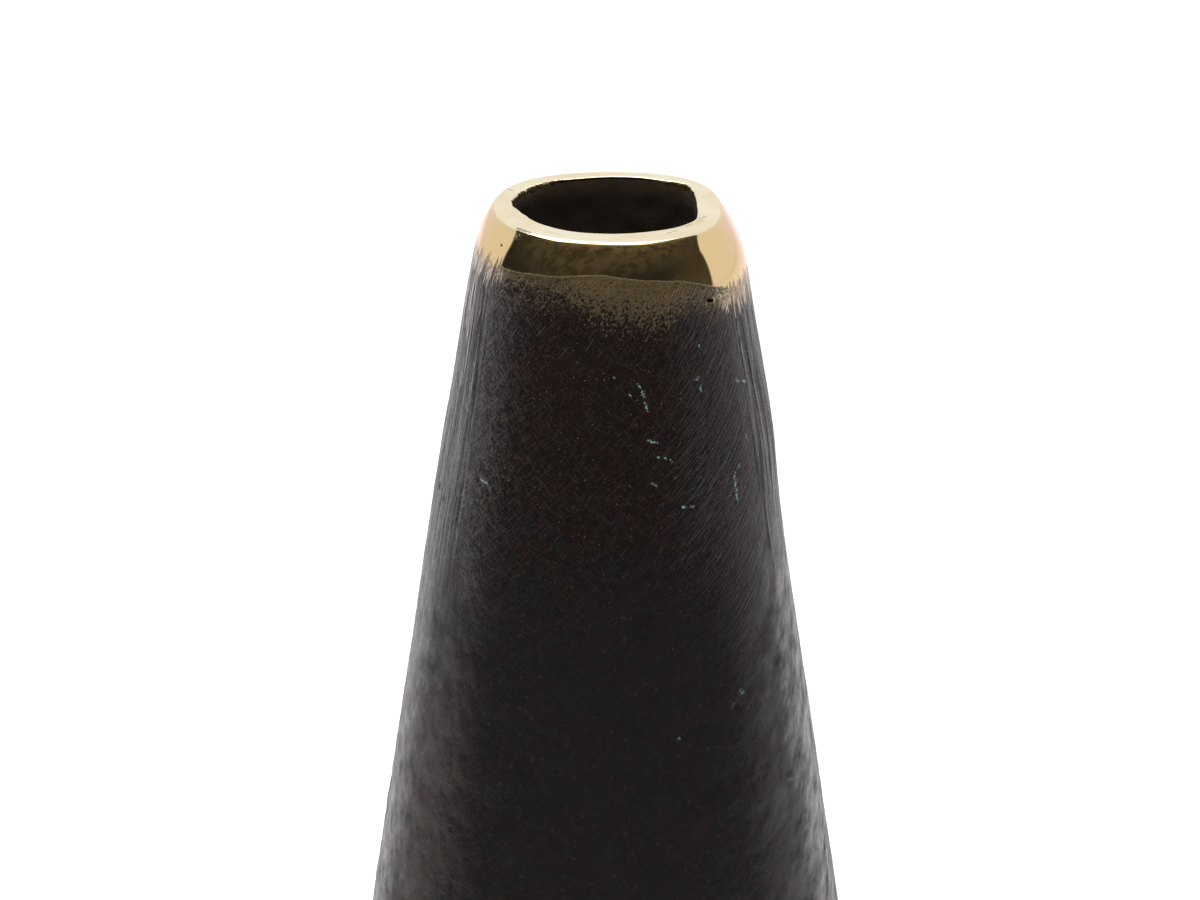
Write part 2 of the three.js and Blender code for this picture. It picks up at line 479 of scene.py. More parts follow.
def outside_rows(angles, sizes):
    """Rows from the foot's lower edge up to the lip's rounding."""
    foot = CASTING_HIGH.z - CASTING_LOW.z - sizes.foot_bevel
    drops = np.concatenate([
        np.linspace(sizes.lip_round, FINE_DROP, 140),
        np.linspace(FINE_DROP, MIDDLING_DROP, 240)[1:],
        np.linspace(MIDDLING_DROP, foot, 70)[1:],
    ])[::-1]
    uneven = smooth_reach(LIP_EDGE, angles) - sizes.lip_half * section(angles, 0, sizes)
    rows = []
    for drop in drops:
        reach = body_half(drop, sizes) * section(angles, drop, sizes)
        reach += uneven * (1 - fade(drop, 0, sizes.even_drop))
        row = ring(angles, reach, CASTING_HIGH.z - drop)
        leaning = fade(drop, 0, LEAN_FULL) * (1 - fade(drop, LEAN_FADES, LEAN_ENDS))
        row[:, 0] += sizes.lean * leaning
        rows.append(row)
    rows = np.array(rows)
    drop = CASTING_HIGH.z - rows[..., 2]
    leftward = -outward(rows)[..., 0]
    pitted = 0.22 * (0.4 + 0.6 * fade(leftward, 0.2, 0.8))
    lumpy = fade(drop, 60 * MM, 84 * MM) * (0.3 + 0.6 * fade(leftward, 0.78, 0.95))
    height = waves(rows, 26 * MM, 4)
    height += waves(rows, 7 * MM, 5, 60) * 0.22
    height += waves(rows, 2.4 * MM, 6, 90) * pitted
    height += waves(rows, 3.2 * MM, 7, 90) * lumpy
    calm = fade(drop, 2 * MM, 14 * MM) * fade(rows[..., 2], 0, 6 * MM)
    rows[..., :2] += outward(rows) * (height * calm * sizes.unevenness)[..., None]
    return flawed(rows)


def lip_rows(angles, outer, sizes):
    """Rows over the lip: the outer edge's rounding, the hand-filed flat and the mouth's edge."""
    top = CASTING_HIGH.z
    edge_reach = smooth_reach(LIP_EDGE, angles)
    flat_edge = ring(angles, edge_reach - sizes.lip_round, top)
    corner = ring(angles, edge_reach, top)
    rows = []
    for share in np.linspace(0, 1, 9)[1:-1]:
        rows.append(bend(outer, corner, flat_edge, share))
    reach = cornered_reach(MOUTH_EDGE, angles) + chips(angles, 11) * 0.35 * MM
    mouth = ring(angles, reach, top)
    flat_end = ring(angles, reach + sizes.mouth_round, top)
    for share in np.linspace(0, 1, 18):
        row = (1 - share) * flat_edge + share * flat_end
        dip = waves(row, 9 * MM, 8) * 0.05 * MM - 0.05 * MM
        row[:, 2] += dip * math.sin(math.pi * share)
        rows.append(row)
    low_edge = mouth.copy()
    low_edge[:, 2] = top - sizes.mouth_round * (1 + 1.2 * chips(angles, 12))
    for share in np.linspace(0, 1, 7)[1:]:
        rows.append(bend(flat_end, mouth, low_edge, share))
    return np.array(rows)


def cavity_rows(angles, mouth, sizes):
    """Rows down the inside, from the uneven mouth to the even cavity, and across the foot."""
    ledge = PLATE_HIGH.z
    depth = CASTING_HIGH.z - ledge
    start = CASTING_HIGH.z - mouth[:, 2].mean()
    drops = np.concatenate([
        np.linspace(start, FINE_DROP, 90)[1:], np.linspace(FINE_DROP, depth, 60)[1:]
    ])
    chipped = np.hypot(mouth[:, 0], mouth[:, 1])
    unchipped = cornered_reach(MOUTH_EDGE, angles)
    rows = []
    for drop in drops:
        height = CASTING_HIGH.z - drop
        even_row = ring(angles, cavity_half(drop, sizes) * section(angles, drop, sizes), height)
        reach = chipped + (unchipped - chipped) * fade(drop, start, start + 1.2 * MM)
        edge_row = ring(angles, reach, np.minimum(mouth[:, 2], height))
        share = fade(drop, 0, 16 * MM)
        row = share * even_row + (1 - share) * edge_row
        lumps = waves(row, 5 * MM, 15) * 0.3 * MM * fade(drop, 0, 6 * MM)
        row[:, :2] += outward(row) * lumps[:, None]
        rows.append(row)
    seat = PLATE_HIGH.x + PLATE_CLEARANCE
    square = section(angles, depth, sizes)
    rows[-1] = ring(angles, cavity_half(depth, sizes) * square, ledge)
    rows.append(ring(angles, seat * square, ledge))
    rows.append(ring(angles, seat * square, ledge / 2))
    rows.append(ring(angles, seat * square, CASTING_LOW.z))
    return np.array(rows)


# Materials


class Value:
    """A value in a node tree. Sums and products of numbers add the Math nodes that give them."""

    def __init__(self, nodes, socket):
        self.nodes = nodes
        self.socket = socket

    def output(self, name):
        return Value(self.nodes, self.socket.node.outputs[name])

    def maths(self, operation, *values):
        return self.nodes.node("ShaderNodeMath", {"operation": operation}, dict(enumerate(values)))

    def __add__(self, other):
        return self.maths("ADD", self, other)

    def __radd__(self, other):
        return self.maths("ADD", other, self)

    def __sub__(self, other):
        return self.maths("SUBTRACT", self, other)

    def __rsub__(self, other):
        return self.maths("SUBTRACT", other, self)

    def __mul__(self, other):
        return self.maths("MULTIPLY", self, other)

    def __rmul__(self, other):
        return self.maths("MULTIPLY", other, self)

    def __truediv__(self, other):
        return self.maths("DIVIDE", self, other)

    def __rtruediv__(self, other):
        return self.maths("DIVIDE", other, self)

    def __pow__(self, other):
        return self.maths("POWER", self, other)

    def __neg__(self):
        return self.maths("MULTIPLY", self, -1.0)

    def __abs__(self):
        return self.maths("ABSOLUTE", self)


class Nodes:
    """A node tree under construction."""

    def __init__(self, tree):
        self.tree = tree

    def node(self, kind, settings=None, values=None, output=0):
        """Adds a node: first its settings, then the values or links of its sockets."""
        made = self.tree.nodes.new(kind)
        for name, setting in (settings or {}).items():
            setattr(made, name, setting)
        self.plug_all(made.inputs, values or {})
        return Value(self, made.outputs[output])

    def plug(self, socket, value):
        """Links a value to a socket, or sets the socket to a plain number or colour."""
        if isinstance(value, Value):
            self.tree.links.new(value.socket, socket)
        elif isinstance(value, (int, float)):
            socket.default_value = value
        else:
            value = tuple(value)
            socket.default_value = value + (1.0,) * (len(socket.default_value) - len(value))

    def plug_all(self, sockets, values):
        """Plugs in several values, each under the name of its socket."""
        for name, value in values.items():
            self.plug(sockets[name], value)

    def vector(self, operation, values, output=0):
        return self.node("ShaderNodeVectorMath", {"operation": operation}, values, output)

    def join(self, x, y, z=0.0):
        return self.node("ShaderNodeCombineXYZ", values={0: x, 1: y, 2: z})

    def split(self, vector):
        parts = self.node("ShaderNodeSeparateXYZ", values={0: vector})
        return parts, parts.output("Y"), parts.output("Z")

    def place(self):
        """The point on the object, in millimetres."""
        point = self.node("ShaderNodeTexCoord", output="Object")
        return self.vector("SCALE", {0: point, "Scale": 1 / MM})

    def noise(self, point, scale, detail=2.0, roughness=0.5, distortion=0.0):
        """Smooth noise from 0 to 1, scale is in features for each millimetre."""
        return self.node("ShaderNodeTexNoise", values={
            "Vector": point, "Scale": scale, "Detail": detail, "Roughness": roughness,
            "Distortion": distortion,
        })

    def smooth(self, value, start, end):
        """Goes smoothly from 0 at start to 1 at end."""
        return self.node("ShaderNodeMapRange", {"interpolation_type": "SMOOTHSTEP"}, {
            "Value": value, "From Min": start, "From Max": end,
        })

    def mix(self, share, first, second):
        """A colour between two colours."""
        return self.node("ShaderNodeMix", {"data_type": "RGBA"}, {0: share, 6: first, 7: second}, 2)

    def layers(self, colour, *layers):
        """A colour with others laid over it, one after the other, each with its own share."""
        for share, over in layers:
            colour = self.mix(share, colour, over)
        return colour

    def larger(self, first, second):
        return self.node("ShaderNodeMath", {"operation": "MAXIMUM"}, {0: first, 1: second})

    def lines(self, noise, width):
        """Thin winding lines where a noise passes its middle value."""
        return 1.0 - self.smooth(abs(noise - 0.5), 0.0, width)

    def spots(self, point, scale, size, share):
        """Small round spots, each in its own cell. share is how many of the cells have one."""
        cells = self.node("ShaderNodeTexVoronoi", values={"Vector": point, "Scale": scale})
        chance = self.node("ShaderNodeSeparateColor", values={0: cells.output("Color")})
        round_spot = 1.0 - self.smooth(cells, size * 0.6, size)
        return round_spot * self.smooth(chance, 1 - share, 1.0001 - share)

    def seen(self):
        """Whether the camera sees something directly, and whether glossy metal shows it."""
        path = self.node("ShaderNodeLightPath", output="Is Camera Ray")
        return path, self.larger(path.output("Is Glossy Ray"), path.output("Is Transmission Ray"))

    def strokes(self, place, marks, fray=0.0):
        """Straight marks, each from one place to another. fray makes their edges ragged."""
        union = 0.0
        for start_u, start_v, end_u, end_v, half_width in marks:
            run = (end_u - start_u, end_v - start_v, 0.0)
            gap = self.vector("SUBTRACT", {0: place, 1: (start_u, start_v, 0.0)})
            ahead = self.vector("DOT_PRODUCT", {0: gap, 1: run}, "Value")
            share = self.node("ShaderNodeMapRange", values={
                "Value": ahead, "From Max": run[0] ** 2 + run[1] ** 2,
            })
            along = self.vector("SCALE", {0: run, "Scale": share})
            rest = self.vector("SUBTRACT", {0: gap, 1: along})
            distance = self.vector("LENGTH", {0: rest}, "Value") / half_width
            union = self.larger(union, 1.0 - self.smooth(distance + fray, 0.7, 1.2))
        return union


class Outside:
    """Places on the casting's outside, in millimetres, and noises that run along it."""

    # Radius of the cylinder that streaks are drawn on
    unrolled_radius = 26.0

    def __init__(self, nodes):
        self.nodes = nodes
        self.point = nodes.place()
        self.x, self.y, self.z = nodes.split(self.point)
        self.drop = CASTING_HIGH.z / MM - self.z
        self.radius = (self.x * self.x + self.y * self.y) ** 0.5
        self.side = self.x / self.radius
        self.front = -(self.y / self.radius)
        self.low = nodes.smooth(self.drop, 38.0, 70.0)
        self.sidedness = nodes.smooth(
            abs(self.side - 0.02), 0.76 - self.low * 0.14, 0.84 + self.low * 0.02
        )
        self.on_front = nodes.smooth(self.front, 0.0, 0.1)
        self.front_place = nodes.join(self.x, self.drop)
        self.top_place = nodes.join(self.x, self.y)

    def drawn_out(self, across, along, slant):
        """The point on a cylinder, scaled so that noise on it makes streaks. slant is how far
        the streaks go to the right for each millimetre up."""
        around = self.nodes.join(
            self.side * self.unrolled_radius, self.front * -self.unrolled_radius, self.z
        )
        turned = self.nodes.node("ShaderNodeVectorRotate", {"rotation_type": "Z_AXIS"}, {
            "Vector": around, "Angle": self.z * (-slant / self.unrolled_radius),
        })
        return self.nodes.vector("MULTIPLY", {0: turned, 1: (across, across, along)})

    def streaks(self, across, along, slant, detail=3.0, roughness=0.6):
        """Noise drawn out into streaks: across and along are in features for each millimetre."""
        return self.nodes.noise(self.drawn_out(across, along, slant), 1.0, detail, roughness)


def new_material(name):
    """A material with its node tree and its shader's sockets."""
    material = bpy.data.materials.new(name)
    material.use_nodes = True
    nodes = Nodes(material.node_tree)
    shader = next(node for node in nodes.tree.nodes if node.type == "BSDF_PRINCIPLED")
    return material, nodes, shader.inputs


def bumped(nodes, height):
    """A normal from a height in millimetres."""
    return nodes.node("ShaderNodeBump", values={"Height": height, "Distance": MM})


def partly_matt(nodes, shader, colour, height, share):
    """Gives a shader its colour and relief and the patina's gloss, and replaces a share of it
    with the same colour and relief without any gloss."""
    tree = nodes.tree
    glossy = next(node for node in tree.nodes if node.type == "BSDF_PRINCIPLED")
    output = next(node for node in tree.nodes if node.type == "OUTPUT_MATERIAL")
    normal = bumped(nodes, height)
    nodes.plug_all(shader, {
        "Base Color": colour, "Normal": normal,
        "Specular IOR Level": PATINA_SHEEN, "Specular Tint": SHEEN_TINT,
    })
    matt = nodes.node("ShaderNodeBsdfPrincipled", values={
        "Base Color": colour, "Roughness": 1.0, "Specular IOR Level": 0.0, "Normal": normal,
    })
    both = nodes.node("ShaderNodeMixShader", values={
        0: share, 1: Value(nodes, glossy.outputs[0]), 2: matt,
    })
    nodes.plug(output.inputs["Surface"], both)


class Patina:
    """The casting's dark finish: its colour, roughness and relief, as the two outside materials
    share them. upper says which of the corrosion marks it holds."""

    def __init__(self, nodes, at, upper):
        colours = finish()
        self.nodes = nodes
        self.at = at
        self.upper = upper
        self.grain = nodes.noise(at.point, 2.6, 2.0, 0.7)
        self.lumps = nodes.noise(at.point, 0.75, 3.0, 0.6)
        self.brush = at.streaks(2.3, 0.24, 0.9, 2.0, 0.7)
        upright = at.streaks(1.5, 0.05, 0.0, 3.0, 0.7)
        self.right = nodes.smooth(at.side, 0.15, 0.55)
        inner = self.right * (1.0 - nodes.smooth(at.side, 0.76, 0.88))
        self.grooves = upright + (at.streaks(2.0, 0.13, 0.75) - upright) * inner
        self.left = nodes.smooth(at.side, -0.2, -0.65)
        self.low = at.low
        self.ropes = at.streaks(0.24, 0.18, 0.3, 2.0, 0.5)
        self.matt = self.matt_share()
        self.colour = self.marked(self.ground(colours), colours)
        uneven = (self.lumps - 0.5) * 0.3 + (self.ropes - 0.5) * self.low * 0.3
        softer = self.low * 0.08 - self.left * (1.0 - self.low) * 0.02
        self.roughness = colours.patina_roughness + softer + (self.grain - 0.5) * 0.15 + uneven
        self.height = self.relief()

    def matt_share(self):
        """How much of the finish has no gloss: file marks at the sides, and blotches low down."""
        nodes, at = self.nodes, self.at
        blotches = at.streaks(0.36, 0.30, 0.35, 2.0, 0.55)
        marks = (self.grooves - 0.5) * (1.0 - self.low) * 3.0
        marks = marks + (blotches - 0.5) * self.low * (0.7 + 1.1 * self.right)
        strokes = (self.brush - 0.5) * 0.9 * (1.0 - 0.7 * self.low)
        marks = marks * at.sidedness + strokes * (1.0 - at.sidedness)
        edge = nodes.smooth(abs(at.side) + self.right * 0.05, 0.82, 0.94)
        marks = marks + self.low * (at.sidedness * 0.14 - edge * 0.34)
        return nodes.node("ShaderNodeClamp", values={"Value": MATT_SHARE + marks, "Max": MOST_MATT})

    def ground(self, colours):
        """Brown with bluish black patches, most of them on the left and towards the foot."""
        nodes, at = self.nodes, self.at
        patches = nodes.noise(at.point, 0.3, 3.0, 0.65)
        middle = 1.0 - nodes.smooth(abs(at.x + 1.0), 8.0, 17.0)
        middle = middle * (1.0 - nodes.smooth(at.drop, 34.0, 56.0))
        cool = self.lumps * 0.45 + patches * 0.55 - middle * 0.09
        cool = cool + self.left * 0.03 + self.low * 0.04
        rusty = nodes.smooth(nodes.noise(at.point, 0.85, 3.0, 0.65, 0.4), 0.55, 0.66)
        rusty = rusty * (0.15 + 0.5 * self.low + 0.3 * self.left)
        blush = nodes.smooth(self.ropes, 0.40, 0.52) * nodes.smooth(at.side, -0.5, -0.72)
        return nodes.layers(
            colours.patina,
            (nodes.smooth(cool, 0.46, 0.54), colours.slate),
            (rusty, colours.russet),
            (blush * nodes.smooth(at.drop, 62.0, 84.0) * 0.6, BLUSH),
            (self.low * 0.11, LOW_HAZE),
            (nodes.smooth(self.grain, 0.45, 0.70) * 0.35, PALE_GRAIN),
        )

    def marked(self, dark, colours):
        """The ground with hairs, painted glints on the hairs at the left, specks, and the corrosion in its
        pits.
        """
        nodes, at = self.nodes, self.at
        crisp = 1.0 - 0.8 * self.low
        strokes = nodes.smooth(self.brush, 0.55, 0.66) * (0.12 + 0.58 * self.right) * crisp
        dark = nodes.mix(strokes, dark, BRUSHED)
        more = self.left * 0.015
        rising = nodes.smooth(at.streaks(4.0, 0.6, 0.85, 1.0) + more, 0.60, 0.67)
        falling = nodes.smooth(at.streaks(4.0, 0.6, -0.85, 1.0) + more, 0.61, 0.68)
        curls = nodes.lines(nodes.noise(at.point, 1.0, 1.0, 0.5, 1.4), 0.028)
        curls = curls * nodes.smooth(self.grain, 0.46, 0.56) * (0.15 + 0.85 * self.left)
        hairs = nodes.larger(curls, nodes.larger(rising, falling) * (0.4 + 0.3 * self.left))
        # Towards the left the hairs are painted paler as glints: a painted highlight
        pale = nodes.mix(nodes.smooth(at.side, -0.55, -0.78), HAIR, PAINTED_HAIR_GLINT)
        metal = nodes.mix(nodes.smooth(self.lumps, 0.44, 0.56), OCHRE_SPECK, GREEN_SPECK)
        dark = nodes.layers(
            dark,
            (hairs * 0.8 * crisp, pale),
            (nodes.spots(at.point, 0.6, 0.24, 0.3) * self.low * 0.4, TAN_SPECK),
            (nodes.spots(at.point, 2.0, 0.17, 0.4) * 0.3 * crisp, metal),
            (nodes.spots(at.point, 1.0, 0.09, 0.5) * 0.8 * crisp, metal),
        )
        if self.upper:
            scratches = nodes.strokes(at.front_place, SCRATCHES) * at.on_front
            dark = nodes.mix(scratches * 0.8, dark, SCRATCHED)
        fray = (nodes.noise(at.point, 3.6, 2.0, 0.7) - 0.42) * 5.0
        for marks, share, colour in (
            (RUST, 0.6, RUST_RED),
            (CRACK, 0.35, CRACK_GREEN),
            (VERDIGRIS, 1.0 - 0.5 * self.low, colours.verdigris),
        ):
            marks = [mark for mark in marks if (mark[1] < SEAM_DROP / MM) == self.upper]
            mask = nodes.strokes(at.front_place, marks, fray) * at.on_front
            dark = nodes.mix(mask * nodes.smooth(self.grain, 0.42, 0.52) * share, dark, colour)
        return dark

    def relief(self):
        """Grain all over, lumps on the left, brush marks on the right and file marks on the sides.
        The corners are filed to a facet, which runs out downwards into a rounding."""
        nodes, at = self.nodes, self.at
        height = (self.grain - 0.5) * (0.05 + 0.04 * self.left) * (1.0 - 0.75 * self.low)
        height = height + (self.lumps - 0.5) * (0.14 + 0.04 * self.left) * (1.0 - 0.5 * self.low)
        height = height + (self.brush - 0.5) * (0.04 + 0.18 * self.right) * (1.0 - 0.9 * self.low)
        height = height + (self.ropes - 0.5) * self.low * (0.2 + at.sidedness * 0.7)
        filed = at.sidedness * (1.0 - nodes.smooth(at.drop, 25.0, 60.0))
        facet = nodes.larger(abs(at.side) - 0.79, 0.0) * (1.0 - self.low)
        rounding = nodes.larger(abs(at.side) - 0.70, 0.0) * self.low
        height = height + (self.grooves - 0.5) * filed * 0.45
        return height - facet * 5.0 - rounding * rounding * 12.0


def patinated_brass():
    """The tapering body: patina, with thin silvery lines where the corners are rubbed."""
    material, nodes, shader = new_material("patinated_brass")
    at = Outside(nodes)
    patina = Patina(nodes, at, False)
    lines = rubbed_lines(nodes, at)
    colour = nodes.mix(lines, patina.colour, RUBBED_LINE)
    nodes.plug_all(shader, {"Metallic": lines, "Roughness": patina.roughness})
    partly_matt(nodes, shader, colour, patina.height, patina.matt * (1.0 - lines))
    return material


def rubbed_lines(nodes, at):
    """Thin bare lines down the casting's corners. They thin out towards the foot."""
    lines = at.streaks(1.4, 0.06, 0.0, 3.0, 0.7)
    fewer = 0.17 * nodes.smooth(at.drop, 10.0, 50.0) + 0.5 * (1.0 - at.sidedness)
    fewer = fewer + 0.04 * nodes.smooth(at.side, 0.0, 0.5)
    return nodes.smooth(lines - fewer, 0.55, 0.60)


def polished_shoulder():
    """The casting's shoulder: bare brass under the lip, a worn border, and patina below it."""
    colours = finish()
    material, nodes, shader = new_material("polished_shoulder")
    at = Outside(nodes)
    patina = Patina(nodes, at, True)
    speck = nodes.noise(at.point, 1.9, 3.0, 0.6)
    clouds = nodes.noise(at.point, 0.11, 5.0, 0.6)

    # How far the bare brass reaches: deeper to the right, and in streaks at the sides
    rightward = nodes.larger(at.x, 0.0)
    reach = colours.polish_depth / MM + abs(at.x) * 0.065 + rightward * 0.055
    reach = reach + nodes.smooth(at.x, 11.0, 21.0) * 2.2
    ragged = (patina.grooves - 0.5) * at.sidedness * 9.0 + (speck - 0.5) * (0.3 + at.sidedness)
    below = at.drop - reach - ragged - (clouds - 0.5) * 0.8
    bare = 1.0 - nodes.smooth(below, -0.15, 0.15)
    matt = 1.0 - bare

    # The worn border under it, widest in the middle and on the right, with dark pits in it
    corner = nodes.larger(nodes.smooth(at.x, 9.0, 14.0), nodes.smooth(at.x, -2.0, -9.0))
    span = nodes.smooth(at.x, -14.0, 2.0) * (1.0 - 0.6 * corner)
    worn_share = below / (1.5 + span * (colours.wear_depth / MM - 1.5))
    fine = at.streaks(4.4, 2.4, 0.8, 2.0, 0.6)
    pits = nodes.spots(at.point, 0.8, 0.2, 0.5)
    worn = nodes.smooth(fine * 0.6 + speck * 0.4 - worn_share * 0.19, 0.34, 0.48)
    curled = nodes.lines(nodes.noise(at.point, 2.0, 2.0, 0.6, 0.8), 0.04) * 0.85
    worn = worn * (1.0 - nodes.larger(pits, curled)) * matt
    worms = nodes.lines(nodes.noise(at.point, 1.1, 2.0, 0.5, 0.8), 0.03)
    worms = worms * (1.0 - span) * (1.0 - nodes.smooth(below, 2.0, 7.0)) * (1.0 - at.sidedness)
    worn = nodes.larger(worn, worms * 0.6)

    # At the sides the brass is only rubbed pale, in streaks that run out downwards
    run = 5.0 + 3.0 * nodes.smooth(at.side, 0.0, 0.5)
    rubbed = nodes.smooth(patina.grooves - nodes.smooth(below / run, 0.0, 1.0) * 0.42, 0.34, 0.42)
    flank = nodes.smooth(abs(at.side) - nodes.smooth(below, 0.0, 6.0) * 0.06, 0.69, 0.77)
    rubbed = rubbed * flank * matt
    lines = rubbed_lines(nodes, at) * matt
    holes = nodes.strokes(at.front_place, BLOWHOLES) * at.on_front
    wider = [(*hole[:4], hole[4] + 0.22) for hole in BLOWHOLES]
    rims = nodes.strokes(at.front_place, wider) * at.on_front * nodes.smooth(speck, 0.36, 0.44)
    brass = nodes.larger(nodes.larger(bare, rims * 0.8), nodes.larger(worn, rubbed)) * (1.0 - holes)

    # The bare brass: buffed, with a roughly filed spot at the lip's front left corner
    chewed_gap = nodes.vector("DISTANCE", {0: at.point, 1: CHEWED_SPOT}, "Value")
    chewed = 1.0 - nodes.smooth(chewed_gap, 0.5, 2.2)
    pale = nodes.mix(nodes.smooth(at.side, 0.0, 0.5), RUBBED_LEFT, RUBBED_RIGHT)
    dull = nodes.mix(corner * (1.0 - at.sidedness), colours.worn_brass, DULL_CORNER)
    bright = nodes.layers(
        colours.brass,
        (rubbed, pale),
        (worn * matt, dull),
        (rims, HOLE_RIM),
        (chewed * nodes.smooth(fine, 0.45, 0.55) * 0.6, CHEWED_BRASS),
    )
    # The blowholes are painted near black: painted shade of their deep insides
    colour = nodes.layers(
        patina.colour, (lines, RUBBED_LINE), (holes, HOLE_PAINTED_SHADE), (brass, bright)
    )
    metal = nodes.larger(lines, brass)
    bright_rough = 0.05 + (patina.grain - 0.5) * (0.04 + 0.26 * matt) + 0.29 * matt - 0.14 * rubbed
    nodes.plug_all(shader, {
        "Metallic": metal * (1.0 - 0.12 * matt),
        "Roughness": patina.roughness * (1.0 - brass) + bright_rough * brass,
    })
    height = patina.height * matt + (patina.grain - 0.5) * 0.001 + (speck - 0.5) * chewed * 0.05
    partly_matt(nodes, shader, colour, height, patina.matt * (1.0 - metal))
    return material


def filed_lip():
    """The lip's hand-filed flat, its buffed outer edge and the stained rounding of the mouth."""
    colours = finish()
    material, nodes, shader = new_material("filed_lip")
    at = Outside(nodes)
    grain = nodes.noise(at.point, 3.4, 4.0, 0.65)
    speck = nodes.noise(at.point, 1.9, 3.0, 0.6)
    clouds = nodes.noise(at.point, 0.11, 5.0, 0.6)
    flat = nodes.smooth(at.drop, 0.3, 0.12)
    fit = 16.4 + 1.5 * nodes.smooth(at.x + at.y, 12.0, 22.0)
    rounding = nodes.smooth(at.radius - fit, 0.2, 0.0) * nodes.smooth(at.drop, 0.05, 0.15)
    keen = nodes.smooth(at.y, 3.0, 7.0) * nodes.smooth(abs(at.x + 0.4), 7.5, 9.5)
    stain = rounding * (1.0 - keen * nodes.smooth(speck, 0.36, 0.44))
    nicks = nodes.strokes(at.top_place, NICKS, (grain - 0.5) * 2.0) * flat
    filed = nodes.mix(nodes.smooth(clouds, 0.35, 0.65), colours.filed_brass, CLOUDED_LIP)
    nodes.plug_all(shader, {
        "Base Color": nodes.layers(
            colours.brass, (flat, filed), (nicks * 0.7, NICK_BROWN), (stain * 0.9, MOUTH_STAIN)
        ),
        "Metallic": 1.0,
        "Roughness": 0.05 + flat * 0.12 + (grain - 0.5) * 0.04 + rounding * 0.2,
        "Normal": bumped(nodes, (grain - 0.5) * 0.002 - nicks * 0.05),
    })
    return material


def cavity_oxide():
    """The casting's inside: brown-black oxide with a few paler specks, browner under the edge, and paler
    further down: painted light.
    """
    material, nodes, shader = new_material("cavity_oxide")
    at = Outside(nodes)
    grain = nodes.noise(at.point, 1.4, 5.0, 0.65)
    clouds = nodes.noise(at.point, 0.25, 3.0)
    specks = nodes.spots(at.point, 0.45, 0.1, 0.25)
    edge = 1.0 - nodes.smooth(at.drop + (clouds - 0.5) * 3.0, 0.5, 4.5)
    # Paler further down the inside, where little light reaches: painted light
    below = nodes.smooth(at.drop, 3.0, 12.0)
    nodes.plug_all(shader, {
        "Base Color": nodes.layers(
            OXIDE, (clouds, OXIDE_CLOUD), (below, OXIDE_PAINTED_FILL), (edge, OXIDE_EDGE),
            (specks * 0.5, OXIDE_SPECK),
        ),
        "Roughness": 0.6 + grain * 0.3,
        "Specular IOR Level": 0.25,
        "Normal": bumped(nodes, (grain - 0.5) * 0.3),
    })
    return material


def plain_brass():
    """The base plate: rolled brass with a light tarnish."""
    material, nodes, shader = new_material("plain_brass")
    point = nodes.place()
    rolled = nodes.noise(nodes.vector("MULTIPLY", {0: point, 1: (0.03, 2.6, 1.0)}), 1.0, 3.0)
    clouds = nodes.noise(point, 0.12, 4.0)
    tarnish = nodes.smooth(clouds, 0.35, 0.7)
    nodes.plug_all(shader, {
        "Base Color": nodes.mix(tarnish, ROLLED_BRASS, TARNISH),
        "Metallic": 1.0,
        "Roughness": 0.3 + tarnish * 0.3 + (rolled - 0.5) * 0.2,
        "Normal": bumped(nodes, (rolled - 0.5) * 0.04),
    })
    return material


def soft_solder():
    """The seam: dull grey solder with flux stains."""
    material, nodes, shader = new_material("soft_solder")
    point = nodes.place()
    clouds = nodes.noise(point, 0.4, 4.0)
    grain = nodes.noise(point, 2.5, 3.0)
    nodes.plug_all(shader, {
        "Base Color": nodes.mix(nodes.smooth(clouds, 0.5, 0.75), SOLDER_GREY, FLUX_STAIN),
        "Metallic": 1.0,
        "Roughness": 0.4 + grain * 0.25,
        "Normal": bumped(nodes, (grain - 0.5) * 0.1),
    })
    return material


def wool_felt():
    """The pad: matted wool fibres, paler where they are rubbed."""
    material, nodes, shader = new_material("wool_felt")
    point = nodes.place()
    fibres = nodes.noise(point, 2.0, 6.0, 0.75, 1.2)
    mat = nodes.noise(point, 0.5, 3.0)
    nodes.plug_all(shader, {
        "Base Color": nodes.mix(nodes.smooth(fibres, 0.52, 0.72), finish().felt, RUBBED_FELT),
        "Roughness": 0.9 + mat * 0.1,
        "Sheen Weight": 0.4,
        "Sheen Roughness": 0.5,
        "Normal": bumped(nodes, fibres * 0.25),
    })
    return material


# Operators


class VASE_OT_casting(bpy.types.Operator):
    """Builds the casting with its uneven mouth, its flaws and its two finishes"""

    bl_idname = "vase.casting"
    bl_label = "Casting"

    def execute(self, context):
        sizes = shape()
        angles = all_round(sizes.steps_around)
        outside = outside_rows(angles, sizes)
        lip = lip_rows(angles, outside[-1], sizes)
        cavity = cavity_rows(angles, lip[-1], sizes)
        foot_half = CASTING_HIGH.x - sizes.foot_bevel
        foot_drop = CASTING_HIGH.z - CASTING_LOW.z
        foot = ring(angles, foot_half * section(angles, foot_drop, sizes), CASTING_LOW.z)
        rows = np.concatenate([foot[None], outside, lip, cavity])
        lip_from = len(outside)
        shoulder_from = int(np.argmax(outside[:, :, 2].mean(axis=1) > CASTING_HIGH.z - SEAM_DROP))
        piece = closed_mesh("vase_casting", rows, (shoulder_from, lip_from, lip_from + len(lip)))
        for material in (patinated_brass, polished_shoulder, filed_lip, cavity_oxide):
            piece.data.materials.append(material())
        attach(piece, ROOT)
        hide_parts("body_casting")
        return {"FINISHED"}


